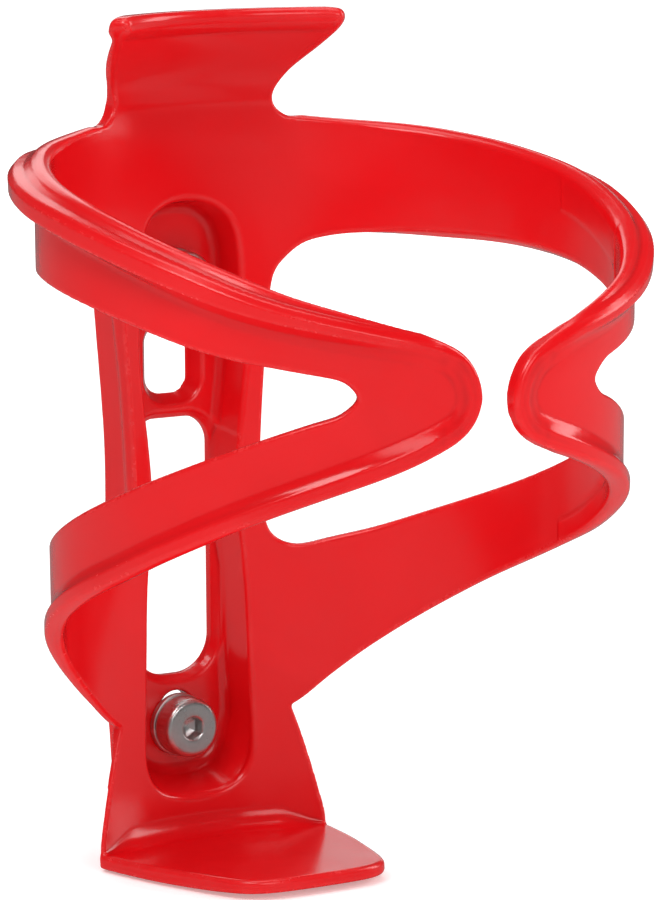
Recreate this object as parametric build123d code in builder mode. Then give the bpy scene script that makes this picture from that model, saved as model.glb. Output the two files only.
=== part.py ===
from build123d import *
import math
import os

# Water bottle cage, moulded in one piece, with its two M5 bolts and washers.
# Frame: +Z up, the open front faces -Y, the flat back that sits on the bicycle
# frame lies on Y = 0, and the origin is midway between the two bolts on it.

os.makedirs("parts", exist_ok=True)

# ---------------------------------------------------------------- bottle and mounting
BOTTLE_R = 36.5            # radius of the standard bottle
AXIS_Y = -44.8             # bottle axis, measured from the mounting face
BOLT_SPACING = 64.0        # standard spacing of the two frame bosses
BOLT_Z = BOLT_SPACING / 2

# ---------------------------------------------------------------- loops
WALL = 2.1                 # wall of the moulded loops

# edges of the two strands on each side: (angle from the spine in degrees, z)
TOP_EDGE = [
    (0, 55.0), (10, 55.0), (18, 54.8), (24, 54.5), (30, 54.1), (40, 53.5), (50, 52.9), (60, 52.0),
    (70, 50.9), (80, 49.6), (90, 48.2), (100, 46.6), (110, 44.7), (120, 42.6), (130, 40.3),
    (140, 38.0), (150, 35.9), (160, 33.7), (166, 32.2), (170, 30.7), (173, 29.3), (175.1, 27.2),
    (176.4, 24.6)]
UPPER_HOLE = [
    (0, 43.0), (10, 36.0), (18, 30.0), (21, 34.4), (24, 36.5), (30, 38.0), (40, 38.5), (50, 38.45),
    (60, 38.25), (70, 37.8), (80, 37.0), (90, 35.9), (100, 34.55), (110, 33.05), (120, 31.55),
    (130, 30.05), (140, 28.75), (145, 28.1), (148.5, 27.4), (150.5, 26.7), (152, 25.6),
    (154, 24.6)]
LOWER_HOLE = [
    (0, -2.0), (10, -2.0), (17, -2.0), (18.5, -4.0), (21, -5.5), (25, -6.0), (30, -5.6),
    (40, -3.85), (50, -1.75), (60, 0.55), (70, 2.9), (80, 5.4), (90, 8.05), (100, 10.75),
    (110, 13.45), (120, 16.05), (130, 18.55), (140, 20.8), (145, 21.8), (148.5, 22.6),
    (150.5, 23.3), (152, 24.4), (154, 25.4)]
BOTTOM_EDGE = [
    (0, -31.0), (10, -31.0), (18, -31.0), (22.4, -29.6), (26, -28.2), (30, -25.9), (40, -20.9),
    (50, -16.7), (60, -12.9), (70, -9.5), (80, -6.5), (90, -3.6), (100, -0.8), (110, 2.0),
    (120, 5.0), (130, 8.1), (140, 10.6), (150, 12.9), (160, 15.2), (166, 16.8), (170, 18.1),
    (173, 19.4), (175.1, 21.1), (176.4, 23.2)]

# how far the flanges stand out from the wall: (angle in degrees, projection)
UPPER_FLANGE = [(0, 1.0), (18, 1.4), (30, 2.2), (60, 3.6), (127, 3.1), (150, 2.2), (165, 1.0),
                (180, 0.6)]
LOWER_FLANGE = [(0, 0.3), (22, 0.4), (35, 1.0), (60, 1.3), (127, 1.3), (150, 1.0), (165, 0.6),
                (180, 0.4)]
FLANGE_BEVEL = 0.4         # radial width of the bevel at a flange's rim
UPPER_LAND = 1.6           # flat width of the top edge
UPPER_BEVEL_DROP, UPPER_RIM_DROP, UPPER_ROOT_DROP = 2.0, 3.6, 5.2    # below the top edge
LOWER_BEVEL_RISE, LOWER_RIM_RISE, LOWER_ROOT_RISE = 0.4, 2.4, 3.6    # above the bottom edge

# tip, where the strands have become one; its flanges are fractions of its height
TIP_WALL_Z = 24.0          # height that sets the radius of its outer wall
TIP_UPPER_RIM, TIP_UPPER_ROOT = 0.16, 0.28
TIP_LOWER_RIM, TIP_LOWER_ROOT = 0.14, 0.24

# loft stations in degrees; the strands run one degree into the tip
APEX_DEG = 153.0
SHARED_DEG = [*range(30, 150, 10), 145, 148.5, 150.5, 152, APEX_DEG + 1]
UPPER_DEG = [0, 6, 12, 18, 21, 24, *SHARED_DEG]
LOWER_DEG = [0, 6, 12, 17, 18.5, 22.4, 26, *SHARED_DEG]
TIP_DEG = [APEX_DEG, 157, 161, 165, 168, 171, 173, 174.4, 175.6, 176.4]

# ---------------------------------------------------------------- spine
# a channel open to the front: (z, half width)
SPINE_HALF = [(-42.0, 9.6), (-36.0, 10.2), (-28.0, 10.5), (-10.0, 10.6), (8.0, 10.3),
              (20.0, 11.1), (32.0, 12.0), (46.5, 12.0)]
SPINE_DEPTH = 11.0
TRIM_Z = (-45.0, 50.0)     # ends of the bottle-shaped cut, beyond the spine
TRIM_CLEARANCE = 0.35      # from the inner face of the loops to that cut
FLOOR_T = 2.5              # floor of the channel, flush with the mounting face
POCKET_HALF = 7.7
POCKET_Z0, POCKET_Z1 = -39.6, 43.6
POCKET_CUT = 20.0          # long enough to run out of the front
# windows in the floor: (half width, z of bottom, z of top, corner radius)
WINDOWS = [(6.55, -25.6, 12.0, 4.7), (3.85, 15.7, 25.0, 2.4)]
SLOT_R = 2.8
SLOT_TRAVEL = 2.0          # room below the upper bolt and above the lower bolt
CUT_MARGIN = 1.0           # floor cuts run past both faces by this much

# ---------------------------------------------------------------- lower wall, shelf, tongue
LOWER_WALL_R = BOTTLE_R + 0.1
LOWER_WALL_T = 2.3
# (z, half angle in degrees)
LOWER_WALL = [(-49.2, 31.0), (-47.5, 30.3), (-43.5, 28.5), (-37.7, 26.1), (-33.0, 24.0),
              (-29.6, 22.5), (-25.0, 22.4)]

SHELF_TOP, SHELF_T = -46.6, 2.0
SHELF_BACK_Y = AXIS_Y + BOTTLE_R + 2.0     # middle of the arched back edge
# +X side of the outline from back to front: (x, y)
SHELF = [(18.5, -12.5), (18.7, -16.8), (18.6, -20.0), (18.0, -22.8), (17.0, -25.8),
         (15.4, -29.8), (13.75, -33.3), (12.0, -36.6), (10.3, -39.0), (8.0, -40.6), (5.5, -41.4)]

# (z, inner radius, half angle in degrees)
TONGUE = [(53.5, 37.7, 20.5), (57.0, 37.8, 19.4), (59.7, 37.2, 20.8), (61.4, 36.2, 22.7),
          (63.0, 34.8, 25.3), (64.7, 33.1, 28.6), (66.4, 31.5, 32.0), (68.0, 30.4, 34.9),
          (69.2, 30.1, 36.2), (70.1, 30.0, 35.2)]
TONGUE_T = 2.1
BEAD_T = 1.0               # extra thickness along the top of the tongue
BEAD_Z = 68.5              # stations above this height carry the bead

# ---------------------------------------------------------------- bolts and washers
BOLT_R = 2.5
BOLT_LEN = 16.0
BOLT_CHAMFER = 0.4         # at the tip and around the head
NECK_R = 2.25              # plain neck under the head, at the thread's pitch diameter
NECK_END_Y = 0.3           # where the threaded length starts, just behind the mounting face
HEAD_R, HEAD_H = 4.25, 3.5
HEX_ACROSS_FLATS, HEX_DEPTH = 3.0, 2.0
WASHER_R, WASHER_HOLE_R, WASHER_T = 4.5, 2.65, 1.0
WASHER_CHAMFER = 0.15
GAP = 0.05                 # running clearance between the loose faces

WASHER_Y = -FLOOR_T - GAP - WASHER_T        # front face of a washer
HEAD_Y = WASHER_Y - GAP                     # underside of a bolt head
BOLT_TIP_Y = HEAD_Y + BOLT_LEN


# ---------------------------------------------------------------- sections
def inner_r(z):
    """Inner radius of the loops, which open slightly towards the top."""
    return 37.0 + 0.011 * z


def interpolate(table, x):
    """Straight-line reading of a table, held constant beyond its ends."""
    if x <= table[0][0]:
        return table[0][1]
    for (x0, y0), (x1, y1) in zip(table, table[1:]):
        if x <= x1:
            return y0 + (y1 - y0) * (x - x0) / (x1 - x0)
    return table[-1][1]


def radial_plane(deg):
    """Vertical plane through the bottle axis: local X is the radius, local Y is up."""
    angle = math.radians(deg)
    sin, cos = math.sin(angle), math.cos(angle)
    return Plane(origin=(0, AXIS_Y, 0), x_dir=(sin, cos, 0), z_dir=(cos, -sin, 0))


def upper_section(deg):
    bottom, top = interpolate(UPPER_HOLE, deg), interpolate(TOP_EDGE, deg)
    outer = inner_r(top) + WALL
    rim = outer + interpolate(UPPER_FLANGE, deg)
    return [(inner_r(bottom), bottom), (inner_r(top), top), (inner_r(top) + UPPER_LAND, top),
            (rim - FLANGE_BEVEL, top - UPPER_BEVEL_DROP), (rim, top - UPPER_RIM_DROP),
            (outer, top - UPPER_ROOT_DROP), (inner_r(bottom) + WALL, bottom)]


def lower_section(deg):
    bottom, top = interpolate(BOTTOM_EDGE, deg), interpolate(LOWER_HOLE, deg)
    outer = inner_r(bottom) + WALL
    rim = outer + interpolate(LOWER_FLANGE, deg)
    return [(inner_r(bottom), bottom), (inner_r(top), top), (inner_r(top) + WALL, top),
            (outer, bottom + LOWER_ROOT_RISE), (rim, bottom + LOWER_RIM_RISE),
            (rim, bottom + LOWER_BEVEL_RISE), (rim - FLANGE_BEVEL, bottom)]


def tip_section(deg):
    bottom, top = interpolate(BOTTOM_EDGE, deg), interpolate(TOP_EDGE, deg)
    height = top - bottom
    outer = inner_r(TIP_WALL_Z) + WALL
    upper_rim = outer + interpolate(UPPER_FLANGE, deg)
    lower_rim = outer + interpolate(LOWER_FLANGE, deg)
    return [(inner_r(bottom), bottom), (inner_r(top), top), (upper_rim, top),
            (upper_rim, top - TIP_UPPER_RIM * height), (outer, top - TIP_UPPER_ROOT * height),
            (outer, bottom + TIP_LOWER_ROOT * height),
            (lower_rim, bottom + TIP_LOWER_RIM * height), (lower_rim, bottom)]


# ---------------------------------------------------------------- cage body
def swept_loop(section, stations):
    """Loft of a section function through vertical planes around the bottle, on the +X side."""
    with BuildPart() as loop:
        for deg in stations:
            with BuildSketch(radial_plane(deg)):
                Polygon(*section(deg), align=None)
        loft(ruled=True)
    return loop.part


def curved_wall(stations):
    """Loft of level arcs about the bottle axis: (z, inner radius, half angle, thickness)."""
    with BuildPart() as wall:
        for z, radius, half_deg, thickness in stations:
            angle = math.radians(half_deg)
            inner, outer = [
                [(r * math.sin(side * angle), AXIS_Y + r * math.cos(side * angle))
                 for side in (-1, 0, 1)]
                for r in (radius, radius + thickness)]
            with BuildSketch(Plane.XY.offset(z)):
                with BuildLine():
                    ThreePointArc(*inner)
                    Line(inner[2], outer[2])
                    ThreePointArc(*reversed(outer))
                    Line(outer[0], inner[0])
                make_face()
        loft(ruled=True)
    return wall.part


def cage_body():
    loops = [swept_loop(upper_section, UPPER_DEG),
             swept_loop(lower_section, LOWER_DEG),
             swept_loop(tip_section, TIP_DEG)]
    tongue = curved_wall([(z, r, half, TONGUE_T + (BEAD_T if z > BEAD_Z else 0.0))
                          for z, r, half in TONGUE])
    lower_wall = curved_wall([(z, LOWER_WALL_R, half, LOWER_WALL_T) for z, half in LOWER_WALL])

    with BuildPart() as cage:
        # spine block, its width varying with height
        with BuildSketch(Plane.XZ):
            with BuildLine():
                right = [(half, z) for z, half in SPINE_HALF]
                left = [(-half, z) for z, half in reversed(SPINE_HALF)]
                Polyline(*right, *left, right[0])
            make_face()
        extrude(amount=SPINE_DEPTH)
        # bottle space trims the front of the block
        for z in TRIM_Z:
            with BuildSketch(Plane.XY.offset(z)):
                with Locations((0, AXIS_Y)):
                    Circle(inner_r(z) + TRIM_CLEARANCE)
        loft(mode=Mode.SUBTRACT)
        # shelf under the bottle, with a rounded nose
        with BuildSketch(Plane.XY.offset(SHELF_TOP - SHELF_T)):
            with BuildLine():
                mirrored = [(-x, y) for x, y in SHELF]
                Spline(*SHELF)
                Line(SHELF[-1], mirrored[-1])
                Spline(*reversed(mirrored))
                ThreePointArc(mirrored[0], (0, SHELF_BACK_Y), SHELF[0])
            make_face()
        extrude(amount=SHELF_T)
        for loop in loops:
            add(loop)
        mirror(about=Plane.YZ)
        add(tongue)
        add(lower_wall)
        # pocket of the channel
        with BuildSketch(Plane.XZ.offset(FLOOR_T)):
            with Locations((0, (POCKET_Z0 + POCKET_Z1) / 2)):
                SlotOverall(POCKET_Z1 - POCKET_Z0, 2 * POCKET_HALF, rotation=90)
        extrude(amount=POCKET_CUT, mode=Mode.SUBTRACT)
        # windows and bolt slots in its floor
        with BuildSketch(Plane.XZ.offset(-CUT_MARGIN)):
            for half, z0, z1, corner in WINDOWS:
                with Locations((0, (z0 + z1) / 2)):
                    RectangleRounded(2 * half, z1 - z0, corner)
            for side in (1, -1):
                with Locations((0, side * (BOLT_Z - SLOT_TRAVEL / 2))):
                    SlotCenterToCenter(SLOT_TRAVEL, 2 * SLOT_R, rotation=90)
        extrude(amount=FLOOR_T + 2 * CUT_MARGIN, mode=Mode.SUBTRACT)
    return cage.part


# ---------------------------------------------------------------- washers and bolts
def bolt_plane(y, z, facing=1):
    """Plane across a bolt's axis; facing 1 looks to the back (+Y), -1 to the front."""
    return Plane(origin=(0, y, z), x_dir=(1, 0, 0), z_dir=(0, facing, 0))


def washer_ring(z):
    with BuildPart() as ring:
        with BuildSketch(bolt_plane(WASHER_Y, z)):
            Circle(WASHER_R)
            Circle(WASHER_HOLE_R, mode=Mode.SUBTRACT)
        extrude(amount=WASHER_T)
        outer_edges = ring.edges().filter_by(GeomType.CIRCLE).group_by(SortBy.RADIUS)[-1]
        chamfer(outer_edges, WASHER_CHAMFER)
    return ring.part


def socket_bolt(z):
    with BuildPart() as bolt:
        # threaded length, modelled plain
        with BuildSketch(bolt_plane(NECK_END_Y, z)):
            Circle(BOLT_R)
        extrude(amount=BOLT_TIP_Y - NECK_END_Y)
        chamfer(bolt.edges().sort_by(Axis.Y)[-1], BOLT_CHAMFER)
        # neck
        with BuildSketch(bolt_plane(HEAD_Y, z)):
            Circle(NECK_R)
        extrude(amount=NECK_END_Y - HEAD_Y)
        # head with its hexagon socket
        with BuildSketch(bolt_plane(HEAD_Y, z, facing=-1)):
            Circle(HEAD_R)
        extrude(amount=HEAD_H)
        chamfer(bolt.edges().filter_by(GeomType.CIRCLE).sort_by(Axis.Y)[0], BOLT_CHAMFER)
        with BuildSketch(bolt_plane(HEAD_Y - HEAD_H, z)):
            RegularPolygon(HEX_ACROSS_FLATS / 2, 6, major_radius=False)
        extrude(amount=HEX_DEPTH, mode=Mode.SUBTRACT)
    return bolt.part


# ---------------------------------------------------------------- export
def save(part, name):
    part.label = name
    export_step(part, f"parts/{name}.step")


save(cage_body(), "cage_body")
for place, z in (("upper", BOLT_Z), ("lower", -BOLT_Z)):
    save(washer_ring(z), place + "_washer")
    save(socket_bolt(z), place + "_bolt")
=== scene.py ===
# A moulded red plastic bottle cage with its two bolts and washers.
# The bottle axis is vertical at x = 0, y = AXIS_Y. The spine lies on the +Y side with its mounting
# face at y = 0, and the arms run round the bottle to free ends on the -Y side. The bolts lie along Y.
# Lengths are in mm until a mesh is made. Angles are in degrees about the bottle axis, from +Y, and
# count the same way on both sides, since the cage is mirrored in x = 0.
import math
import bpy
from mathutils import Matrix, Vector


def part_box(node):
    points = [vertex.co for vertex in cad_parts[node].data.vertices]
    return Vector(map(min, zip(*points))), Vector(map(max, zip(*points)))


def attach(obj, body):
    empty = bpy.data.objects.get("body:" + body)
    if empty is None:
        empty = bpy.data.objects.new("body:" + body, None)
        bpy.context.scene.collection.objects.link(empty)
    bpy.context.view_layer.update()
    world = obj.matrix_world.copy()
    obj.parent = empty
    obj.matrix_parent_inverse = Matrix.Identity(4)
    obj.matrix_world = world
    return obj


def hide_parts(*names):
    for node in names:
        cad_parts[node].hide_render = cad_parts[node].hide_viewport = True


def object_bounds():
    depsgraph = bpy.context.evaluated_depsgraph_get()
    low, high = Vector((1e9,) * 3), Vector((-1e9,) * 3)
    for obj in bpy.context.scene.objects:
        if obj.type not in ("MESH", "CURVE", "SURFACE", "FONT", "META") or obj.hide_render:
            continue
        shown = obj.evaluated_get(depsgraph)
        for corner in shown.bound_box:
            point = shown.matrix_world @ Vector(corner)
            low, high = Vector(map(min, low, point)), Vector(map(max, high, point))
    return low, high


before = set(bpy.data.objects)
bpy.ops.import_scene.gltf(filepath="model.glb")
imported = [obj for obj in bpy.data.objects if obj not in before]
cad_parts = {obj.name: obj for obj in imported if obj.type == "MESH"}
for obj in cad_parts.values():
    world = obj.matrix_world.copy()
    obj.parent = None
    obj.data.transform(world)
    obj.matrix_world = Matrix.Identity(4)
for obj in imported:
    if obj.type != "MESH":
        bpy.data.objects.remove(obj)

from types import SimpleNamespace

import bpy
import numpy as np
from mathutils import Matrix, Vector

cad_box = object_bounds()
MM = 0.001

# ------------------------------------------------------------------ dimensions
AXIS_Y = -44.8
ARC_R = 38.0        # radius that turns an angle into a length along the unrolled wall
Z_BOLT = 32.0       # the bolts sit this far above and below z = 0
FLOOR_T = 2.5       # floor of the channel, behind the pocket
SLOT_R = 2.8        # bolt slots, stretched towards z = 0
SLOT_RUN = 2.0
ARM_SAG = 0.6       # droop of the +X arm at its free end
LOW_WINDOW = dict(half_width=6.45, z0=-24.95, z1=12.1)
LOW_WINDOW_R = (5.4, 4.0)       # corner radius of its lower and upper part
LOW_WINDOW_R_CHANGE_Z = -6.0
TOP_WINDOW = dict(half_width=3.15, z0=15.7, z1=25.0, radius=2.2)

# (angle, z) along the outer edges of an arm
TOP_EDGE = [
    (26, 54.67), (30, 54.37), (40, 53.8), (50, 53.25), (60, 52.4), (70, 51.33), (80, 50.05),
    (90, 48.68), (100, 46.95), (110, 44.95), (120, 42.75), (130, 40.25), (140, 37.8), (150, 35.7),
    (160, 33.65), (166, 32.35), (170, 31.05), (172.9, 29.65), (175.1, 27.55), (176.25, 25.25)]
TIP = (176.45, 24.0)
BOTTOM_EDGE = [
    (22.6, -29.6), (24.3, -28.95), (26, -28.2), (30, -26.05), (35, -23.4), (40, -21.05),
    (50, -16.8), (60, -12.95), (70, -9.5), (80, -6.5), (90, -3.65), (100, -0.95), (110, 2.05),
    (120, 5.0), (130, 7.9), (140, 10.5), (150, 12.85), (160, 15.15), (166, 16.75), (170, 18.0),
    (172.8, 19.2), (175.0, 20.9), (176.2, 22.9)]
# (angle, z) along the opening between the two strands of an arm
HOLE_TOP = [
    (18.3, 30.0), (19.3, 32.2), (21.1, 33.9), (23.7, 35.6), (26.6, 36.85), (29.9, 37.5),
    (35, 38.0), (40, 38.15), (50, 38.2), (60, 38.05), (70, 37.75), (80, 37.1), (90, 36.15),
    (100, 34.9), (110, 33.35), (120, 31.6), (130, 29.85), (140, 28.55), (145, 27.9),
    (148.5, 27.2), (150.3, 26.4), (151.45, 25.5)]
HOLE_APEX = (151.9, 24.8)
HOLE_BOTTOM = [
    (17.0, -2.5), (18.2, -4.1), (20.4, -5.5), (24.9, -6.3), (29.3, -5.8), (40, -4.15),
    (50, -2.05), (60, 0.25), (70, 2.6), (80, 5.1), (90, 7.75), (100, 10.45), (110, 13.2),
    (120, 15.85), (130, 18.4), (140, 20.75), (145, 21.8), (148.5, 22.6), (150.3, 23.4),
    (151.45, 24.15)]
# (angle, z) along the side edge of the tongue, above the arms, from bottom to top
TONGUE_EDGE = [
    (26, 54.67), (23.9, 54.7), (21.9, 55.3), (20.5, 56.2), (19.9, 57.3), (20.2, 58.5),
    (21.4, 59.85), (23.3, 61.4), (26.0, 63.0), (29.3, 64.7), (32.6, 66.4), (34.95, 67.7),
    (36.0, 68.6), (36.25, 69.35), (35.6, 70.05), (34.0, 70.4), (31.0, 70.55)]
TONGUE_TOP = 70.55
# (angle, z) along the side edge of the lower wall, from the arm down
WALL_EDGE = [
    (22.6, -29.6), (24.5, -33.0), (26.8, -37.7), (29.3, -43.5), (30.1, -46.0), (30.0, -47.3),
    (29.1, -48.5), (27.2, -49.45)]

# (angle, how far the rim stands out of the wall) and (angle, scale of its width)
TOP_FLANGE = [
    (0, 0.0), (20, 0.0), (30, 1.5), (42, 2.9), (60, 3.6), (95, 3.35), (112, 2.95), (127, 2.5),
    (150, 1.75), (165, 0.85), (174, 0.0), (180, 0.0)]
TOP_FLANGE_W = [(0, 1.0), (100, 1.0), (127, 1.16), (150, 0.92), (165, 0.78), (180, 0.72)]
LOW_BEAD = [
    (0, 0.0), (24, 0.0), (38, 0.6), (60, 1.05), (127, 1.0), (150, 0.9), (165, 0.75),
    (174, 0.0), (180, 0.0)]
LOW_BEAD_W = [(0, 1.0), (140, 1.0), (165, 1.2), (180, 1.2)]
TIP_BEAD = [(0, 0.0), (164, 0.0), (171, 0.55), (180, 0.55)]

# (z, half width) of the spine
SPINE_HALF = [
    (-45.5, 0.0), (-44.6, 5.0), (-42.5, 8.0), (-39.0, 9.5), (-34.0, 10.0), (-29.0, 10.35),
    (-20, 10.7), (-10.0, 10.55), (0, 10.3), (8.0, 10.3), (20.0, 11.05), (32.0, 11.95),
    (39.0, 12.0), (43.0, 11.0), (46.0, 8.4), (47.6, 4.6), (48.1, 0.0)]
# (x, z) round half of the pocket in the spine, from top to bottom
POCKET = [
    (0.0, 43.7), (2.4, 43.45), (4.5, 42.6), (6.2, 41.2), (7.2, 39.4), (7.7, 37.2), (8.0, 31.0),
    (8.65, 24.5), (8.4, 19.0), (7.65, 12.5), (6.95, 6.5), (6.75, 2.5), (7.05, -3.0),
    (7.75, -9.0), (8.25, -18.5), (8.6, -28.0), (8.75, -33.5), (8.45, -36.6), (7.2, -39.0),
    (4.6, -40.7), (0.0, -41.4)]
# shelf below the bottle: (x, y) round half of it, then (y, z) of its upper and lower face
SHELF = [
    (18.9, -10.5), (18.7, -13.5), (18.2, -16.8), (17.6, -20.0), (17.0, -22.8), (16.2, -25.8),
    (15.0, -29.9), (13.9, -33.5), (12.7, -36.8), (11.2, -39.4), (9.0, -40.9), (6.0, -41.6),
    (3.0, -41.8), (0.0, -41.85)]
SHELF_TOP = [(-50, -46.45), (-42, -46.5), (-16, -47.0), (10, -47.0)]
SHELF_LOW = [(-50, -48.3), (-42, -48.4), (-28, -49.15), (-16, -49.2), (10, -49.2)]
SHELF_BACK_R = 38.4             # arc about the bottle axis that ends the shelf
SHELF_BACK_X = 15.5
# (z, radius) of the inner surface, and (z, thickness) of the wall
INNER = [
    (-60, 36.6), (-38, 36.6), (-30, 36.67), (0, 37.0), (53.0, 37.6), (56.9, 37.8),
    (59.7, 37.15), (61.4, 36.2), (63.0, 34.8), (64.7, 33.15), (66.4, 31.55), (68.0, 30.4),
    (69.2, 30.05), (71.5, 29.95), (80, 29.9)]
WALL_T = [
    (-60, 1.7), (2, 1.6), (8, 1.95), (13, 1.95), (20, 1.95), (25, 2.3), (30, 2.5), (50, 2.4),
    (56, 2.15), (80, 2.1)]

# Meshing
STEP = 0.36      # cell of the net that the cage is meshed on
MESH_BOX = ((-46.5, -91.5, -52.0), (46.5, 2.5, 73.0))
FIELD_STEP = 0.33                       # cell of the plane distance fields
CURVE_STEP = 0.35
UNROLLED = (-8, 126, -56, 77)           # arc length and z covered by the unrolled fields
SPINE_AREA = (-30, 30, -60, 66)         # x and z
SHELF_AREA = (-30, 30, -60, 10)         # x and y


# ------------------------------------------------------------------ curves
def natural(x, y):
    """Natural cubic spline through the points."""
    n, h = len(x), np.diff(x)
    a, b = np.zeros((n, n)), np.zeros(n)
    a[0, 0] = a[-1, -1] = 1
    for i in range(1, n - 1):
        a[i, i - 1], a[i, i], a[i, i + 1] = h[i - 1], 2 * (h[i - 1] + h[i]), h[i]
        b[i] = 6 * ((y[i + 1] - y[i]) / h[i] - (y[i] - y[i - 1]) / h[i - 1])
    m = np.linalg.solve(a, b)

    def value(t):
        t = np.clip(t, x[0], x[-1])
        i = np.clip(np.searchsorted(x, t) - 1, 0, n - 2)
        d = h[i]
        p, q = (x[i + 1] - t) / d, (t - x[i]) / d
        bow = ((p**3 - p) * m[i] + (q**3 - q) * m[i + 1]) * d * d / 6
        return p * y[i] + q * y[i + 1] + bow

    return value


def curve(points):
    """Smooth line through the points, sampled evenly along its length."""
    p = np.array(points, float)
    t = np.r_[0, np.cumsum(np.hypot(*np.diff(p, axis=0).T))]
    u = np.linspace(0, t[-1], int(t[-1] / CURVE_STEP) + 2)
    return np.c_[natural(t, p[:, 0])(u), natural(t, p[:, 1])(u)]


def unrolled(table):
    """(angle, z) to (arc length, z)."""
    return [(math.radians(angle) * ARC_R, z) for angle, z in table]


def mirrored(half):
    """The half line in -x, run backwards and without the point the two halves share."""
    return (half * [-1, 1])[::-1][1:]


def table_fn(table, blur=0.0, step=0.1):
    """Linear interpolation of a table, smoothed by a Gaussian of width blur."""
    x, y = np.array(table, float).T
    u = np.arange(x[0], x[-1] + step, step)
    v = np.interp(u, x, y)
    if blur:
        k = int(3 * blur / step)
        g = np.exp(-0.5 * (np.arange(-k, k + 1) * step / blur) ** 2)
        v = np.convolve(np.pad(v, k, mode="edge"), g / g.sum(), mode="valid")
    return lambda t: np.interp(t, u, v)


inner_radius = table_fn(INNER, 0.55)
wall_thickness = table_fn(WALL_T, 1.2)
shelf_top, shelf_low = table_fn(SHELF_TOP, 3.0), table_fn(SHELF_LOW, 3.0)
top_flange_out = table_fn(TOP_FLANGE, 5.0, 1.0)
top_flange_width = table_fn(TOP_FLANGE_W, 5.0, 1.0)
low_bead_out = table_fn(LOW_BEAD, 4.0, 1.0)
low_bead_width = table_fn(LOW_BEAD_W, 5.0, 1.0)
tip_bead_out = table_fn(TIP_BEAD, 2.0, 0.5)


# ------------------------------------------------------------------ plane fields
def line_distance(X, Y, line, closed):
    """Distance to a line, negative inside it if it is closed."""
    ends = np.roll(line, -1, 0) if closed else line[1:]
    d = np.full(X.shape, 1e18)
    inside = np.zeros(X.shape, bool)
    for (ax, ay), (bx, by) in zip(line[: len(ends)], ends):
        ex, ey = bx - ax, by - ay
        wx, wy = X - ax, Y - ay
        t = np.clip((wx * ex + wy * ey) / max(ex * ex + ey * ey, 1e-12), 0, 1)
        d = np.minimum(d, (wx - ex * t) ** 2 + (wy - ey * t) ** 2)
        if closed and ay != by:
            crosses = (ay > Y) != (by > Y)
            inside ^= crosses & (wx < ex * wy / ey)
    d = np.sqrt(d)
    return np.where(inside, -d, d) if closed else d


def edge_depth(X, Y, line, region):
    """Distance to an edge line, positive within the region."""
    inside = line_distance(X, Y, region, True) < 0
    return line_distance(X, Y, line, False) * np.where(inside, 1, -1)


def spline_weights(t):
    """Cubic B-spline weights: smooth slopes, no ripple."""
    return ((1 - t) ** 3 / 6, (3 * t**3 - 6 * t**2 + 4) / 6,
            (-3 * t**3 + 3 * t**2 + 3 * t + 1) / 6, t**3 / 6)


class Field:
    """A plane distance sampled on a regular net and read back smoothly."""

    def __init__(self, area, distance, *shape):
        x0, x1, y0, y1 = area
        h = FIELD_STEP
        self.x0, self.y0 = x0 - 2 * h, y0 - 2 * h
        self.nx, self.ny = int((x1 - x0) / h) + 6, int((y1 - y0) / h) + 6
        xs, ys = self.x0 + np.arange(self.nx) * h, self.y0 + np.arange(self.ny) * h
        self.net = distance(*np.meshgrid(xs, ys, indexing="ij"), *shape).ravel()

    def __call__(self, x, y):
        u = np.clip((x - self.x0) / FIELD_STEP, 1.0, self.nx - 2.001)
        v = np.clip((y - self.y0) / FIELD_STEP, 1.0, self.ny - 2.001)
        i, j = u.astype(np.int64), v.astype(np.int64)
        wu, wv = spline_weights(u - i), spline_weights(v - j)
        base = (i - 1) * self.ny + (j - 1)
        total = 0.0
        for a in range(4):
            row = 0.0
            for b in range(4):
                row = row + wv[b] * self.net[base + a * self.ny + b]
            total = total + wu[a] * row
        return total


# Half of the unrolled cage; lines that end at CUT_X run past the plane of symmetry.
CUT_X = -8.0
arm_line = curve(unrolled(TOP_EDGE + [TIP] + BOTTOM_EDGE[::-1]))
tip = int(np.argmax(arm_line[:, 0]))
top_line, low_line = arm_line[: tip + 1], arm_line[tip:]
tongue_line = curve(unrolled(TONGUE_EDGE[::-1]))
wall_line = curve(unrolled(WALL_EDGE))
outline = np.vstack([[(CUT_X, TONGUE_TOP)], tongue_line[:-1], top_line, low_line[1:],
                     wall_line[1:], [(CUT_X, -49.6)]])

# The opening is closed along the side of the spine, a little inside it.
hole_line = curve(unrolled(HOLE_TOP) + unrolled([HOLE_APEX]) + unrolled(HOLE_BOTTOM)[::-1])
side_z = np.arange(-2.0, 30.0, 0.5)
side_arc = ARC_R * np.arcsin((table_fn(SPINE_HALF)(side_z) - 0.4) / 37.2)
hole = np.vstack([hole_line, np.c_[side_arc, side_z]])

far = top_line[-1, 0] + 20.0
under_top = np.vstack([[(CUT_X, top_line[0, 1])], top_line,
                       [(far, top_line[-1, 1]), (far, -60.0), (CUT_X, -60.0)]])
over_low = np.vstack([[(far, low_line[0, 1])], low_line,
                      [(CUT_X, low_line[-1, 1]), (CUT_X, 90.0), (far, 90.0)]])

outline_field = Field(UNROLLED, line_distance, outline, True)
top_field = Field(UNROLLED, edge_depth, top_line, under_top)
low_field = Field(UNROLLED, edge_depth, low_line, over_low)
hole_field = Field(UNROLLED, line_distance, hole, True)

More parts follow.
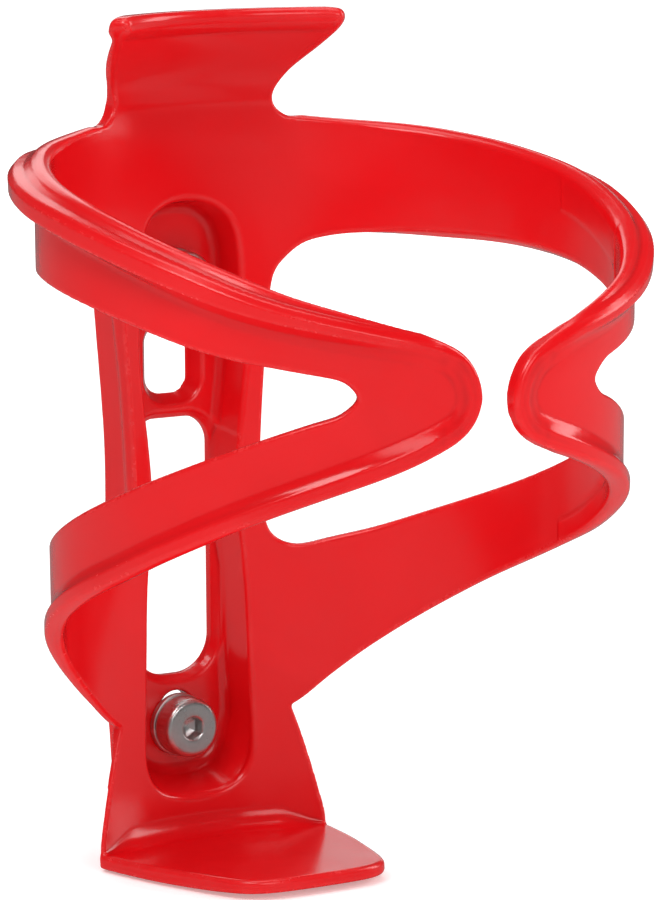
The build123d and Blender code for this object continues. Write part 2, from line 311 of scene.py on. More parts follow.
spine_half = curve([(x, z) for z, x in SPINE_HALF])
pocket_half = curve(POCKET)
shelf_half = curve(SHELF)
shelf_back = [(x, AXIS_Y + math.sqrt(SHELF_BACK_R**2 - x * x))
              for x in np.linspace(-SHELF_BACK_X, SHELF_BACK_X, 40)]
spine = np.vstack([spine_half, mirrored(spine_half)[:-1]])
pocket = np.vstack([pocket_half, mirrored(pocket_half)[:-1]])
shelf = np.vstack([shelf_half, mirrored(shelf_half), shelf_back])
spine_field = Field(SPINE_AREA, line_distance, spine, True)
pocket_field = Field(SPINE_AREA, line_distance, pocket, True)
shelf_field = Field(SHELF_AREA, line_distance, shelf, True)


# ------------------------------------------------------------------ distance helpers
def both(a, b, r):
    """Intersection, with its edge rounded to r."""
    return np.minimum(-r, np.maximum(a, b)) + np.hypot(np.maximum(r + a, 0), np.maximum(r + b, 0))


def either(a, b, r):
    """Union, with a fillet of r."""
    return -both(-a, -b, r)


def rise(value, start, width):
    """0 to 1 smoothly, from start over width; a negative width runs downwards."""
    t = np.clip((value - start) / width, 0, 1)
    return t * t * (3 - 2 * t)


def polygon_distance(px, py, corners):
    """Signed distance to a small polygon whose corners may vary from point to point."""
    d = (px - corners[0][0]) ** 2 + (py - corners[0][1]) ** 2
    sign = np.ones_like(px)
    for i in range(len(corners)):
        (ix, iy), (jx, jy) = corners[i], corners[i - 1]
        ex, ey = jx - ix, jy - iy
        wx, wy = px - ix, py - iy
        t = np.clip((wx * ex + wy * ey) / (ex * ex + ey * ey + 1e-9), 0, 1)
        d = np.minimum(d, (wx - ex * t) ** 2 + (wy - ey * t) ** 2)
        c1, c2, c3 = py >= iy, py < jy, ex * wy > ey * wx
        sign = np.where((c1 & c2 & c3) | (~c1 & ~c2 & ~c3), -sign, sign)
    return sign * np.sqrt(d)


def slot(x, z, z0, z1):
    return np.hypot(x, z - np.clip(z, z0, z1)) - SLOT_R


def window(x, z, half_width, z0, z1, radius):
    """Rounded rectangle, mirrored in x = 0."""
    qx = x - (half_width - radius)
    qz = np.abs(z - (z0 + z1) / 2) - ((z1 - z0) / 2 - radius)
    outside = np.hypot(np.maximum(qx, 0), np.maximum(qz, 0))
    return outside + np.minimum(np.maximum(qx, qz), 0) - radius


# ------------------------------------------------------------------ the moulding as a distance
def locate(points):
    """The points in the terms that the pieces are drawn in."""
    at = SimpleNamespace(signed_x=points[:, 0], x=np.abs(points[:, 0]), y=points[:, 1])
    at.from_axis = at.y - AXIS_Y
    at.radius = np.hypot(at.x, at.from_axis)
    angle = np.arctan2(at.x, at.from_axis)
    at.deg = deg = np.degrees(angle)
    at.arc = ARC_R * angle
    at.z = z = points[:, 2] + ARM_SAG * rise(deg, 157, 14) * (at.signed_x > 0)

    # height above the inner surface, which leans with z and flares along the upper strand
    at.inner = inner_radius(z)
    reach = 0.3
    lean = (inner_radius(z + reach) - inner_radius(z - reach)) / (2 * reach)
    flare = 0.7 * rise(deg, 100, 26) * (1 - rise(deg, 162, 12)) * rise(z, 24.0, 5.0)
    at.height = (at.radius - at.inner - flare) / np.sqrt(1 + lean**2)

    # the wall thins towards the side edges of the lower wall and of the tongue
    at.outline = outline_field(at.arc, z)
    at.lip = rise(z, 67.0, 1.6)
    low_thin = rise(z, -29.5, -5.0) * rise(deg, 34, -3)
    tongue_thin = rise(z, 57.0, 4.0) * (1 - at.lip)
    thin = 0.75 * (1 - rise(at.outline, 0, -4.0)) * np.where(z < 0, low_thin, tongue_thin)
    at.wall = wall_thickness(z) - thin

    at.front = rise(deg, 108, 26)
    at.near_top = (at.height > -3) & (at.height < 10) & (z > 15)
    at.top = np.full(z.shape, 9.0)      # depth below the top edge, where it matters
    at.top[at.near_top] = top_field(at.arc[at.near_top], z[at.near_top])
    return at


def pick(at, mask):
    return SimpleNamespace(**{name: values[mask] for name, values in vars(at).items()})


def shell(at):
    """Arms, lower wall and tongue; the top of the tongue is rolled over."""
    z, deg = at.z, at.deg
    # the upper edge of the opening is cut at a slant
    slant = rise(deg, 32, 26) * (1 - 0.6 * rise(deg, 118, 20))
    slant = slant * rise(z - 15.0 - (deg - 30) * 0.085, 0, 4.0)
    slant = slant * (1 - rise(deg, 146, 5))
    shift = 1.15 * slant * (np.clip(at.height, -0.5, 3.0) / 2.4 - 0.35)
    edge = np.maximum(at.outline, -hole_field(at.arc, z + shift))

    soft = 0.55 + 0.6 * at.lip + 0.4 * rise(deg, 158, 12)
    inner_soft = np.maximum(0.75 * at.front, 0.55 * rise(deg, 34, 14)) * rise(at.top, 5.0, -3.0)
    return np.maximum(both(-at.height - 0.65 * at.lip, edge, soft + inner_soft),
                      both(at.height - at.wall - 0.4 * at.lip, edge, soft))


def faded(ridge, out):
    """Sinks a ridge into the wall where it hardly stands out."""
    return np.where(out > 0.02, ridge + 0.75 * (1 - rise(out, 0, 0.5)), 5.0)


def add_top_flange(d, at):
    """Rolled flange along the top edge."""
    near = at.near_top
    part = pick(at, near)
    depth, height, deg, wall = part.top, part.height, part.deg, part.wall
    stand, width = top_flange_out(deg), top_flange_width(deg)
    out = wall + stand
    full = np.minimum(1.0, stand / 3.4)         # 1 where the flange is fully grown
    lip_depth = (0.55 + 1.55 * full) * width
    lip_depth = lip_depth - 0.55 * full * rise(deg, 35, 15) * (1 - rise(deg, 118, 20))
    knee = 0.45 + 0.38 * (out - 0.9)
    ease = np.maximum(part.front, 0.6 * rise(deg, 34, 14)) * full

    # section in (height, depth below the edge), with its upper face dished from a to b
    ax, ay = knee + 0.25 * ease, 0.45 + 0.06 * full
    bx, by = out - 0.95, lip_depth - 0.1
    dish = 0.3 * full * rise(bx - ax, 0, 0.8) / np.hypot(bx - ax, by - ay + 1e-6)
    section = [
        (0.45 + 0.5 * ease, 1.35 + 0.5 * ease),
        (np.minimum(1.1, knee - 0.05) + 0.8 * ease, 0.45),
        (ax, ay),
        (0.5 * (ax + bx) - dish * (by - ay), 0.5 * (ay + by) + dish * (bx - ax)),
        (bx, by),
        (out - 0.42, lip_depth + 0.5),
        (out - 0.5, (1.6 + 2.1 * full) * width),
        (wall - 0.5, (3.2 + 2.0 * full) * width),
        (0.45 + 0.5 * ease, (3.2 + 2.0 * full) * width)]
    ridge = polygon_distance(height, depth, section) - 0.42
    ridge = np.maximum(faded(ridge, stand), part.outline - 0.12)
    joined = either(d[near], ridge, 0.7)

    # its inner edge is pared away towards the front
    pare = 1.45 * rise(deg, 118, 24) * (1 - rise(deg, 160, 13))
    cut = (pare * (1 - depth / 3.4) - height) / np.sqrt(1 + (pare / 3.4) ** 2)
    d[near] = np.where(pare > 0.02, both(joined, cut, 0.7), joined)


def bead(part, depth, stand, edge, shoulder, root):
    """Rounded bead; edge, shoulder and root are depths from the rim."""
    crest = part.wall + stand - 0.72
    section = [(0.8, edge), (crest, edge), (crest, shoulder), (part.wall - 0.6, root), (0.8, root)]
    return faded(polygon_distance(part.height, depth, section) - 0.67, stand)


def add_low_bead(d, at):
    """Bead along the bottom edge."""
    near = (at.height > -3) & (at.height < 8) & (at.z > -34) & (at.z < 40)
    part = pick(at, near)
    width = low_bead_width(part.deg)
    ridge = bead(part, low_field(part.arc, part.z), low_bead_out(part.deg),
                 edge=0.72, shoulder=1.55 * width, root=2.4 * width)
    d[near] = either(d[near], np.maximum(ridge, part.outline - 0.12), 0.7)


def add_tip_bead(d, at):
    """The two edges meet in one bead round the tip."""
    near = (at.deg > 160) & (at.height > -3) & (at.height < 8) & (at.z > 5) & (at.z < 45)
    part = pick(at, near)
    ridge = bead(part, -part.outline, tip_bead_out(part.deg), edge=0.75, shoulder=1.75, root=2.7)
    limit = part.outline - 0.3 * (1 - rise(part.deg, 160, 7))
    d[near] = np.maximum(either(d[near], ridge, 0.5), limit)


def add_spine(d, at):
    """Block between the inner surface and y = 0, and a clear bore for the bottle."""
    r = 0.9
    bore = at.inner - at.radius
    sides = [spine_field(at.signed_x, at.z) + r, at.y + r, bore + r]
    outside = np.sqrt(sum(np.maximum(side, 0) ** 2 for side in sides))
    block = outside + np.minimum(np.maximum(np.maximum(*sides[:2]), sides[2]), 0) - r
    behind = at.from_axis > 0
    d = either(d, np.where(behind, block, 20.0), 1.6)
    return np.where(behind & (at.z < 56), np.maximum(d, bore), d)


def add_shelf(d, at):
    """Shelf under the bottle, trimmed to the outside of the wall and flat underneath."""
    top, bottom = shelf_top(at.y), shelf_low(at.y)
    plate = both(shelf_field(at.signed_x, at.y),
                 np.abs(at.z - (top + bottom) / 2) - (top - bottom) / 2, 0.72)
    low = at.z < -38
    fillet = 0.6 + 2.6 * rise(at.x, 18.5, -7)
    d = np.where(low, either(d, plate, fillet), np.minimum(d, plate))
    outside = at.radius - at.inner - at.wall - 9 * rise(at.x, 13.0, -2.0)
    d = np.where(low & (at.radius > 30), both(d, outside, 0.5), d)
    return np.where(low, both(d, -49.2 - at.z, 0.5), d)


def cut_channel(d, at):
    """Pocket in the spine, open towards the bottle, and the openings in its floor."""
    x, y, z = at.x, at.y, at.z
    # the draft is softer at both ends
    draft = 0.07 + 0.42 * rise(z, -30.0, -9.0) + 0.12 * rise(z, 34.0, 8.0)
    side = pocket_field(at.signed_x, z) + draft * np.clip(y + 8.0, 0, 6)
    hollow = np.maximum(both(side, y + FLOOR_T, 1.3), -16 - y)
    d = both(d, -hollow, 0.85)

    # both windows widen towards the bottle
    radius = np.where(z > LOW_WINDOW_R_CHANGE_Z, LOW_WINDOW_R[1], LOW_WINDOW_R[0])
    low_window = window(x, z, **LOW_WINDOW, radius=radius)
    low_window = low_window - 1.0 * np.clip((-1.35 - y) / 1.15, 0, 1)
    top_window = window(x, z, **TOP_WINDOW) - 1.75 * np.clip(-y / FLOOR_T, 0, 1)
    windows = np.maximum(np.minimum(low_window, top_window), side)
    slots = np.minimum(slot(x, z, Z_BOLT - SLOT_RUN, Z_BOLT),
                       slot(x, z, -Z_BOLT, -Z_BOLT + SLOT_RUN))
    openings = np.where(y > -12, np.minimum(windows, slots), 20.0)
    return both(d, -openings, 0.35)


def solid(points):
    at = locate(points)
    d = shell(at)
    add_top_flange(d, at)
    add_low_bead(d, at)
    add_tip_bead(d, at)
    return cut_channel(add_shelf(add_spine(d, at), at), at)


def solid_at(points, chunk=150000):
    return np.concatenate([solid(points[i : i + chunk]) for i in range(0, len(points), chunk)])


def gradient(points):
    reach = 0.12
    g = np.empty_like(points)
    for k, shift in enumerate(np.eye(3) * reach):
        g[:, k] = (solid_at(points + shift) - solid_at(points - shift)) / (2 * reach)
    return g


def unit(vectors):
    return vectors / np.maximum(np.linalg.norm(vectors, axis=1), 1e-9)[:, None]


# ------------------------------------------------------------------ meshing
def sample_net(lo, hi, h):
    """solid() on a net: exact near the surface, only a sign elsewhere."""
    m = 4       # cells of the net along a coarse block
    n = (np.ceil((np.array(hi) - lo) / (h * m)).astype(int)) * m + 1
    blocks = (n - 1) // m
    C = np.stack(np.meshgrid(*[np.arange(k) for k in blocks], indexing="ij"), -1).reshape(-1, 3)
    centre = solid_at(np.array(lo) + (C + 0.5) * h * m)
    hot = np.abs(centre) < h * m * 0.87 * 1.35 + 0.25
    F = np.empty(n, np.float32)
    sign = np.where(centre < 0, -9.0, 9.0).reshape(blocks)
    F[:-1, :-1, :-1] = np.repeat(np.repeat(np.repeat(sign, m, 0), m, 1), m, 2)
    F[-1], F[:, -1], F[:, :, -1] = 9.0, 9.0, 9.0
    mask = np.zeros(n, bool)
    for c in C[hot] * m:
        mask[c[0] : c[0] + m + 1, c[1] : c[1] + m + 1, c[2] : c[2] + m + 1] = True
    F[mask] = solid_at(np.array(lo) + np.argwhere(mask) * h)
    return F


def part_checkerboards(F):
    """A cell face signed like a checkerboard would put four quads on one edge,
    so its weakest corner changes sides."""
    for turn in range(8):
        changed = False
        for o1, o2 in ((0, 1), (0, 2), (1, 2)):
            neg = F < 0
            b, d = np.roll(neg, -1, o1), np.roll(neg, -1, o2)
            c = np.roll(b, -1, o2)
            e1, e2 = np.eye(3, dtype=int)[[o1, o2]]
            for p in np.argwhere((neg == c) & (b == d) & (neg != b)):
                ring = [tuple(q) for q in (p, p + e1, p + e1 + e2, p + e2)]
                s = [F[q] < 0 for q in ring]
                if s[0] == s[2] and s[1] == s[3] and s[0] != s[1]:
                    weak = min(ring, key=lambda q: abs(F[q]))
                    F[weak] = 1e-3 if F[weak] < 0 else -1e-3
                    changed = True
        if not changed:
            break


def surface(lo, hi, h):
    """Points on the surface of solid(), one in each cell it crosses, and the quads between."""
    F = sample_net(lo, hi, h)
    part_checkerboards(F)
    neg = F < 0
    corners = [(i, j, k) for i in (0, 1) for j in (0, 1) for k in (0, 1)]
    nx, ny, nz = np.array(F.shape) - 1
    count = sum(neg[i : nx + i, j : ny + j, k : nz + k].astype(np.int8) for i, j, k in corners)
    cells = np.argwhere((count > 0) & (count < 8))
    cell_id = np.full((nx, ny, nz), -1, np.int64)
    cell_id[tuple(cells.T)] = np.arange(len(cells))

    # each point is the mean of the crossings on the edges of its cell
    total, crossings = np.zeros((len(cells), 3)), np.zeros(len(cells))
    for a in range(8):
        for b in range(a + 1, 8):
            ca, cb = np.array(corners[a]), np.array(corners[b])
            if np.abs(ca - cb).sum() != 1:
                continue
            fa, fb = F[tuple((cells + ca).T)], F[tuple((cells + cb).T)]
            hit = (fa < 0) != (fb < 0)
            t = np.where(hit, fa / np.where(hit, fa - fb, 1), 0)
            total += np.where(hit[:, None], ca + (cb - ca) * t[:, None], 0)
            crossings += hit
    verts = np.array(lo) + (cells + total / crossings[:, None]) * h

    # one quad round each net edge that crosses the surface
    quads = []
    for axis in range(3):
        hit = neg != np.roll(neg, -1, axis)
        E = np.argwhere(hit[1:-1, 1:-1, 1:-1]) + 1
        d1, d2 = np.eye(3, dtype=int)[[(axis + 1) % 3, (axis + 2) % 3]]
        q = np.stack([cell_id[tuple(e.T)] for e in (E - d1 - d2, E - d2, E, E - d1)], 1)
        forward = neg[tuple(E.T)]
        q[~forward] = q[~forward][:, ::-1]
        quads.append(q)
    quads = np.vstack(quads)
    return verts, quads[(quads >= 0).all(1)]


def neighbour_mean(quads, count):
    """A function that averages values over the neighbours of each point."""
    sides = np.vstack([quads[:, [i, (i + 1) % 4]] for i in range(4)])
    pair = np.unique(np.sort(sides, axis=1), axis=0)
    ends, others = np.r_[pair[:, 0], pair[:, 1]], np.r_[pair[:, 1], pair[:, 0]]
    degree = np.maximum(np.bincount(ends, minlength=count), 1)
    return lambda values: np.bincount(ends, weights=values[others], minlength=count) / degree


def settle(verts, mean):
    """Draws the points onto the surface, and evens out the net in the first two turns."""
    for turn in range(4):
        g = gradient(verts)
        move = g * (solid_at(verts) / np.maximum((g**2).sum(1), 0.25))[:, None]
        size = np.linalg.norm(move, axis=1)
        verts -= move * np.minimum(1, 0.4 * STEP / np.maximum(size, 1e-9))[:, None]
        if turn < 2:
            n = unit(g)
            slide = np.stack([mean(verts[:, k]) for k in range(3)], 1) - verts
            verts += 0.5 * (slide - n * (slide * n).sum(1)[:, None])


def outward_bend(verts, g, mean):
    """How sharply the surface bends outward at each point, for the worn edges with their painted
    highlight, and for the painted shade in the hollows.
    """
    reach = 0.45
    bend = -6 * solid_at(verts)
    for shift in np.eye(3) * reach:
        bend = bend + solid_at(verts + shift) + solid_at(verts - shift)
    bend = np.clip(bend / reach**2 / np.maximum(np.linalg.norm(g, axis=1), 0.3), -3, 3)
    for _ in range(2):
        bend = 0.5 * bend + 0.5 * mean(bend)
    return bend


def make_mesh(name, verts, faces, normals=None):
    mesh = bpy.data.meshes.new(name)
    mesh.from_pydata([tuple(v) for v in verts], [], [tuple(f) for f in faces])
    mesh.validate()
    mesh.update()
    mesh.shade_smooth()
    if normals is not None:
        mesh.normals_split_custom_set_from_vertices([tuple(n) for n in normals])
    return add_object(name, mesh)


def add_object(name, data):
    o = bpy.data.objects.new(name, data)
    bpy.context.scene.collection.objects.link(o)
    return o


def build_cage():
    verts, quads = surface(*MESH_BOX, STEP)
    mean = neighbour_mean(quads, len(verts))
    settle(verts, mean)
    g = gradient(verts)
    o = make_mesh("cage_moulding", verts * MM, quads, unit(g))
    bend = outward_bend(verts, g, mean)
    attribute = o.data.attributes.new("bend", "FLOAT", "POINT")
    attribute.data.foreach_set("value", bend.astype(np.float32))
    return o


# ------------------------------------------------------------------ bolts and washers
RING = 96       # points round a turned part
THETA = np.arange(RING) * 2 * math.pi / RING
HEAD_H, HEAD_R, KNURL = 3.5, 4.25, 0.045
SHANK_R = 2.25
SOCKET_FLATS = 3.0
THREAD_START, THREAD_PITCH, THREAD_STEP = 0.3, 0.8, 0.1     # start is a y, step is along y
THREAD_ROOT_R, THREAD_R = 2.07, 2.5
WASHER_R, WASHER_HOLE_R = 4.5, 2.65


def lathe(rings, capped=True):
    """Skin over rings of (y, radius or radius by angle). The end rings are closed by a point
    on the axis, or else joined to each other."""
    verts, faces = [], []
    for y, radius in rings:
        radius = np.broadcast_to(radius, THETA.shape)
        verts += [(r * math.cos(t), y, r * math.sin(t)) for r, t in zip(radius, THETA)]
    n = len(rings)
    for i in range(n - 1 if capped else n):
        a, b = i * RING, (i + 1) % n * RING
        for j in range(RING):
            k = (j + 1) % RING
            faces.append((a + j, a + k, b + k, b + j))
    if capped:
        start, end, last = len(verts), len(verts) + 1, (n - 1) * RING
        verts += [(0, rings[0][0], 0), (0, rings[-1][0], 0)]
        for j in range(RING):
            k = (j + 1) % RING
            faces.append((start, k, j))
            faces.append((end, last + j, last + k))
    # the rings run along +Y, so the faces are turned round to look outward
    return np.array(verts, float), [f[::-1] for f in faces]


def shifted(y, rings):
    return [(y + offset, radius) for offset, radius in rings]


def hexagon(flats):
    a = (THETA + math.pi / 6) % (math.pi / 3) - math.pi / 6
    return np.minimum(flats / 2 / np.cos(a), flats / 2 * 1.13)


def thread(tip_y):
    rings = []
    start = THREAD_START
    for i in range(int((tip_y - 0.45 - start) / THREAD_STEP) + 1):
        y = start + i * THREAD_STEP
        turn = ((y - start) / THREAD_PITCH - THETA / (2 * math.pi)) % 1.0
        tooth = np.clip(1.25 - 2.6 * np.abs(turn - 0.5), 0.0, 1.0)
        fade = min(1.0, (y - start + 0.1) / 0.8) * min(1.0, (tip_y - 0.35 - y) / 0.7 + 0.25)
        root = THREAD_ROOT_R
        if y < start + 0.5:
            root += (SHANK_R - THREAD_ROOT_R) * max(0.0, 1 - (y - start) / 0.5)
        rings.append((y, root + (THREAD_R - root) * tooth * max(0.0, fade)))
    return rings


def place_steel(name, rings, z, capped=True):
    verts, faces = lathe(rings, capped)
    verts[:, 2] += z
    return make_mesh(name + "_steel", verts * MM, faces)


def register(o, replaced, parent):
    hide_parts(replaced)
    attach(o, parent)


def bolt(name, z):
    lo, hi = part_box(name)
    head_y, tip_y = lo.y * 1000, hi.y * 1000
    socket = hexagon(SOCKET_FLATS)
    grip_r = HEAD_R - KNURL
    knurled = grip_r + KNURL * np.cos(THETA * 32)
    # from the bottom of the socket, out over the face of the head and along its side
    rings = shifted(head_y, [
        (2.35, 0.05), (2.35, 0.3), (2.05, socket * 0.93), (1.95, socket * 0.985), (1.8, socket),
        (0.45, socket), (0.32, socket), (0.16, np.maximum(socket, 1.62)),
        (0.03, np.maximum(socket * 1.03, 1.76)), (0.0, 1.9), (0.0, 2.5), (0.0, 3.3), (0.02, 3.6),
        (0.09, 3.82), (0.26, 4.03), (0.5, 4.17), (0.8, 4.24), (0.95, grip_r), (1.1, knurled),
        (1.8, knurled), (2.85, knurled), (3.0, grip_r)])
    # underside of the head, and the plain shank
    rings += shifted(head_y + HEAD_H, [
        (-0.3, HEAD_R), (-0.1, 4.2), (-0.02, 4.08), (0, 3.9), (0, 2.6), (0.06, 2.38),
        (0.2, 2.27), (0.45, SHANK_R)])
    rings += [(-1.0, SHANK_R), (THREAD_START - 0.25, SHANK_R)]
    rings += thread(tip_y)
    rings += shifted(tip_y, [(-0.3, 2.0), (-0.12, 1.92), (-0.02, 1.75), (0, 1.55), (0, 0.8)])
    o = place_steel(name, rings, z)
    o.modifiers.new("edges", "WEIGHTED_NORMAL").keep_sharp = True
    register(o, name, name + "_body")
    return o


def washer(name, z):
    lo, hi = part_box(name)
    y0, y1 = lo.y * 1000, hi.y * 1000
    outer, inner = WASHER_R, WASHER_HOLE_R
    rings = shifted(y0, [
        (0.12, inner), (0.04, inner + 0.04), (0, inner + 0.14), (0, 3.3), (0, 3.9),
        (0, outer - 0.24), (0.03, outer - 0.1), (0.12, outer - 0.02), (0.3, outer), (0.7, outer)])
    rings += shifted(y1, [
        (-0.08, outer - 0.02), (-0.02, outer - 0.07), (0, outer - 0.16), (0, 3.9), (0, 3.3),
        (0, inner + 0.12), (-0.04, inner + 0.03), (-0.12, inner)])
    rings.append((y0 + 0.5, inner))
    o = place_steel(name, rings, z, capped=False)
    register(o, name, name + "_body")
    return o


cage = build_cage()
register(cage, "cage_body", "cage")
bolts = [bolt("upper_bolt", Z_BOLT), bolt("lower_bolt", -Z_BOLT)]
washers = [washer("upper_washer", Z_BOLT), washer("lower_washer", -Z_BOLT)]


# ------------------------------------------------------------------ materials
class Shader:
    """Short ways to add nodes to a tree; an input takes a value or a socket."""

    def __init__(self, tree):
        self.tree = tree

    def feed(self, socket, value):
        if isinstance(value, bpy.types.NodeSocket):
            self.tree.links.new(value, socket)
        else:
            socket.default_value = value

    def put(self, node, **inputs):
        for name, value in inputs.items():
            self.feed(node.inputs[name.replace("_", " ")], value)

    def add(self, kind, **inputs):
        node = self.tree.nodes.new("ShaderNode" + kind)
        self.put(node, **inputs)
        return node

    def noise(self, vector, scale, detail, rough=0.5):
        node = self.add("TexNoise", Scale=scale, Detail=detail, Roughness=rough, Vector=vector)
        return node.outputs["Fac"]

    def remap(self, value, source, to):
        node = self.add("MapRange", From_Min=source[0], From_Max=source[1],
                        To_Min=to[0], To_Max=to[1], Value=value)
        return node.outputs["Result"]

    def mix(self, factor, a, b):
        node = self.add("Mix")
        node.data_type = "RGBA"
        for index, value in ((0, factor), (6, a), (7, b)):
            self.feed(node.inputs[index], value)
        return node.outputs[2]

    def math(self, operation, a, b):
        node = self.add("Math")
        node.operation = operation
        self.feed(node.inputs[0], a)
        self.feed(node.inputs[1], b)
        return node.outputs[0]

    def bump(self, height, strength, distance):
        node = self.add("Bump", Strength=strength, Distance=distance, Height=height)
        return node.outputs[0]


def new_material(name):
    material = bpy.data.materials.new(name)
    material.use_nodes = True
    material.node_tree.nodes.clear()
    sh = Shader(material.node_tree)
    return material, sh, sh.add("OutputMaterial")


def red_plastic():
    material, sh, output = new_material("moulded_red_plastic")
    bsdf = sh.add("BsdfPrincipled")
    sh.put(output, Surface=bsdf.outputs[0])
    place = sh.add("TexCoord").outputs["Object"]

    # colour: slow drift of the pigment and faint flow marks
    drift = sh.noise(place, scale=22.0, detail=2.0)
    base = sh.mix(sh.remap(drift, source=(0.35, 0.65), to=(0.0, 1.0)),
                  a=(0.68, 0.0030, 0.0055, 1), b=(0.77, 0.0050, 0.0085, 1))
    flow = sh.add("TexWave", Scale=16.0, Distortion=9.0, Detail=3.0, Detail_Scale=1.4, Vector=place)
    flow.wave_type, flow.bands_direction, flow.wave_profile = "BANDS", "DIAGONAL", "SIN"
    base = sh.mix(sh.remap(flow.outputs["Fac"], source=(0.75, 1.0), to=(0.0, 0.16)),
                  a=base, b=(0.82, 0.009, 0.014, 1))

    # painted shade in the hollows, and paler edges that are partly rubbed wear and partly a painted
    # highlight
    bend = sh.add("Attribute")
    bend.attribute_name = "bend"
    worn = sh.remap(bend.outputs["Fac"], source=(0.45, 1.5), to=(0.0, 1.0))
    # painted shade: where the surface bends inward, the colour is darkened towards (0.46, 0.002,
    # 0.004)
    hollow = sh.remap(bend.outputs["Fac"], source=(-1.2, -0.2), to=(1.0, 0.0))
    base = sh.mix(sh.math("MULTIPLY", hollow, b=0.6), a=base, b=(0.46, 0.002, 0.004, 1))
    patch = sh.noise(place, scale=420.0, detail=4.0, rough=0.6)
    patch = sh.remap(patch, source=(0.45, 0.7), to=(0.35, 1.0))
    # the paler edge colour (0.86, 0.05, 0.05) is partly rubbed wear and partly a painted highlight
    wear_and_painted_highlight = sh.math("MULTIPLY", worn, patch)
    base = sh.mix(sh.math("MULTIPLY", wear_and_painted_highlight, b=0.35), a=base, b=(0.86, 0.05, 0.05, 1))

    # painted shade: the colour darkens towards a deep maroon at a glancing angle, drawing dark
    # outlines along the silhouettes
    painted_rim_shade = sh.add("LayerWeight", Blend=0.5)
    base = sh.mix(sh.remap(painted_rim_shade.outputs["Facing"], source=(0.80, 0.99), to=(0.0, 0.65)),
                  a=base, b=(0.20, 0.001, 0.003, 1))

    # gloss: smooth skin, duller in hazy patches and along worn edges
    haze = sh.noise(place, scale=60.0, detail=4.0, rough=0.55)
    haze = sh.remap(haze, source=(0.3, 0.7), to=(0.15, 0.25))
    rough = sh.math("ADD", haze, sh.math("MULTIPLY", wear_and_painted_highlight, b=0.12))
    fine = sh.noise(place, scale=1800.0, detail=2.0)
    fine = sh.remap(fine, source=(0.3, 0.7), to=(-0.02, 0.02))
    rough = sh.math("ADD", rough, fine)

    # relief: faint moulding ripple, and the fine grain of the tool
    ripple = sh.noise(place, scale=130.0, detail=2.0)
    grain = sh.noise(place, scale=2600.0, detail=2.0, rough=0.6)
    relief = sh.math("ADD", sh.math("MULTIPLY", ripple, b=1.0),
                     sh.math("MULTIPLY", grain, b=0.03))
    sh.put(bsdf, Base_Color=base, Roughness=rough, IOR=1.49, Specular_IOR_Level=0.46,
           Coat_Weight=0.08, Coat_Roughness=0.12,
           Normal=sh.bump(relief, strength=0.35, distance=0.0003))
    return material


def steel(name, tone, smoothest, stretch):
    """Blotchy steel of a grey tone, with fine marks drawn out by the mapping scale stretch."""
    material, sh, output = new_material(name)
    bsdf = sh.add("BsdfPrincipled")
    sh.put(output, Surface=bsdf.outputs[0])
    place = sh.add("TexCoord").outputs["Object"]
    geometry = sh.add("NewGeometry")
    stretched = sh.add("Mapping", Scale=stretch, Vector=place).outputs[0]

    blotch = sh.noise(place, scale=260.0, detail=4.0, rough=0.6)
    dark = tuple(t * 0.86 for t in tone) + (1,)
    light = tuple(min(1, t * 1.06) for t in tone) + (1,)
    base = sh.mix(sh.remap(blotch, source=(0.35, 0.65), to=(0.0, 1.0)), a=dark, b=light)
    worn = sh.remap(geometry.outputs["Pointiness"], source=(0.52, 0.6), to=(0.0, 0.6))
    base = sh.mix(worn, a=base, b=(0.88, 0.88, 0.87, 1))

    marks = sh.noise(stretched, scale=3200.0, detail=2.0)
    rough = sh.math("ADD", sh.math("MULTIPLY", marks, b=0.5), sh.math("MULTIPLY", blotch, b=0.5))
    rough = sh.remap(rough, source=(0.3, 0.7), to=(smoothest, smoothest + 0.16))
    sh.put(bsdf, Base_Color=base, Metallic=1.0, Roughness=rough,
           Normal=sh.bump(marks, strength=0.25, distance=0.00004))
    return material


def paint(o, material):
    o.data.materials.clear()
    o.data.materials.append(material)


plastic = red_plastic()
paint(cage, plastic)
bolt_steel = steel("bolt_stainless", tone=(0.66, 0.66, 0.65), smoothest=0.24,
                   stretch=(1.0, 0.12, 1.0))
washer_steel = steel("washer_stainless", tone=(0.62, 0.62, 0.61), smoothest=0.32,
                     stretch=(1.0, 1.0, 1.0))
for o in bolts:
    paint(o, bolt_steel)
for o in washers:
    paint(o, washer_steel)
for name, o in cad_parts.items():
    if not o.hide_render:
        paint(o, plastic if name == "cage_body" else bolt_steel)


# ------------------------------------------------------------------ floor, light, camera (metres)
FLOOR_HALF = 8.0
FLOOR_GAP = 0.0002      # below the product
AIM = Vector((0.0, -0.0435, 0.0105))


def floor_material():
    """Pale floor that glows more with distance, but looks dim in reflections."""
    material, sh, output = new_material("pale_floor")
    path = sh.add("LightPath")
    pale = sh.add("BsdfDiffuse", Color=(0.93, 0.93, 0.93, 1))
    glow = sh.add("Emission", Color=(1, 1, 1, 1))
    distance = sh.add("VectorMath")
    distance.operation = "LENGTH"
    sh.feed(distance.inputs[0], sh.add("NewGeometry").outputs["Position"])
    sh.put(glow, Strength=sh.remap(distance.outputs["Value"], source=(0.25, 1.2), to=(0.30, 0.85)))
    lit = sh.add("AddShader")
    sh.feed(lit.inputs[0], pale.outputs[0])
    sh.feed(lit.inputs[1], glow.outputs[0])
    dim = sh.add("BsdfDiffuse", Color=(0.30, 0.30, 0.30, 1))
    choice = sh.add("MixShader")
    sources = (path.outputs["Is Glossy Ray"], lit.outputs[0], dim.outputs[0])
    for socket, source in zip(choice.inputs, sources):
        sh.feed(socket, source)
    sh.put(output, Surface=choice.outputs[0])
    return material


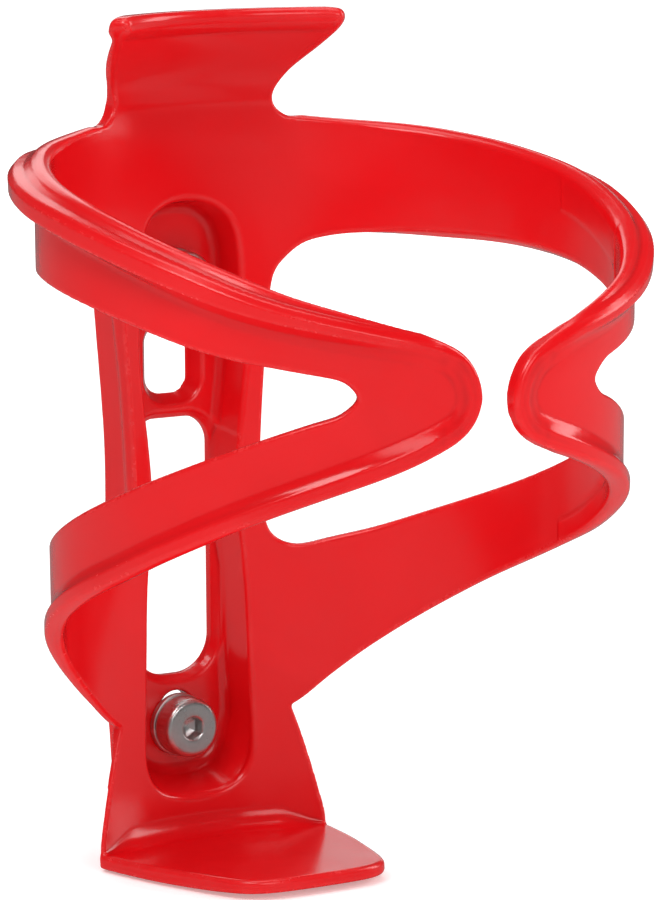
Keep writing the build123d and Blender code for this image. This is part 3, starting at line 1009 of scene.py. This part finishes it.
def floor():
    mesh = bpy.data.meshes.new("floor")
    r, z = FLOOR_HALF, cad_box[0].z - FLOOR_GAP
    mesh.from_pydata([(-r, -r, z), (r, -r, z), (r, r, z), (-r, r, z)], [], [(0, 1, 2, 3)])
    o = add_object("floor", mesh)
    mesh.materials.append(floor_material())


def softbox(name, place, size, watts):
    light = bpy.data.lights.new(name, "AREA")
    light.shape = "RECTANGLE"
    light.size, light.size_y = size
    light.energy = watts
    o = bpy.data.objects.new(name, light)
    o.location = place
    o.rotation_mode = "QUATERNION"
    o.rotation_quaternion = (AIM - Vector(place)).to_track_quat("-Z", "Y")
    bpy.context.scene.collection.objects.link(o)
    return o


def world_light():
    """Even white surroundings, dimmed in reflections."""
    world = bpy.data.worlds.new("studio")
    bpy.context.scene.world = world
    world.use_nodes = True
    sh = Shader(world.node_tree)
    glossy = sh.add("LightPath").outputs["Is Glossy Ray"]
    strength = sh.remap(glossy, source=(0.0, 1.0), to=(0.36, 0.07))
    sh.put(world.node_tree.nodes["Background"], Color=(1, 1, 1, 1), Strength=strength)


def camera():
    data = bpy.data.cameras.new("camera")
    data.sensor_fit = "AUTO"
    data.sensor_width = 36.0
    data.lens = 208.2138
    data.clip_start, data.clip_end = 0.05, 30.0
    o = add_object("camera", data)
    right = Vector((0.84256, -0.53855, -0.00724))
    up = Vector((0.08345, 0.11726, 0.98959))
    backward = Vector((-0.53209, -0.83439, 0.14374))
    pose = Matrix((right, up, backward)).transposed().to_4x4()
    pose.translation = Vector((-0.37471, -0.63139, 0.11366))
    o.matrix_world = pose
    bpy.context.scene.camera = o


floor()
softbox("key_softbox", place=(-0.66, -0.36, 0.92), size=(0.55, 0.40), watts=5.0)
softbox("front_softbox", place=(-0.15, -1.1, 0.55), size=(0.7, 0.5), watts=3.2)
softbox("right_softbox", place=(0.85, -0.25, 0.35), size=(0.35, 0.6), watts=2.6)
softbox("top_softbox", place=(0.0, 0.05, 1.0), size=(0.8, 0.6), watts=3.0)
softbox("rim_softbox", place=(0.35, 1.0, 0.65), size=(0.8, 0.45), watts=1.8)
back_light = softbox("back_right_softbox", place=(0.80, 0.90, 0.14), size=(0.40, 0.35), watts=0.32)
back_light.visible_camera = False
world_light()

view = bpy.context.scene.view_settings
view.view_transform = "Standard"
view.look = "None"
view.exposure = 0.0
camera()
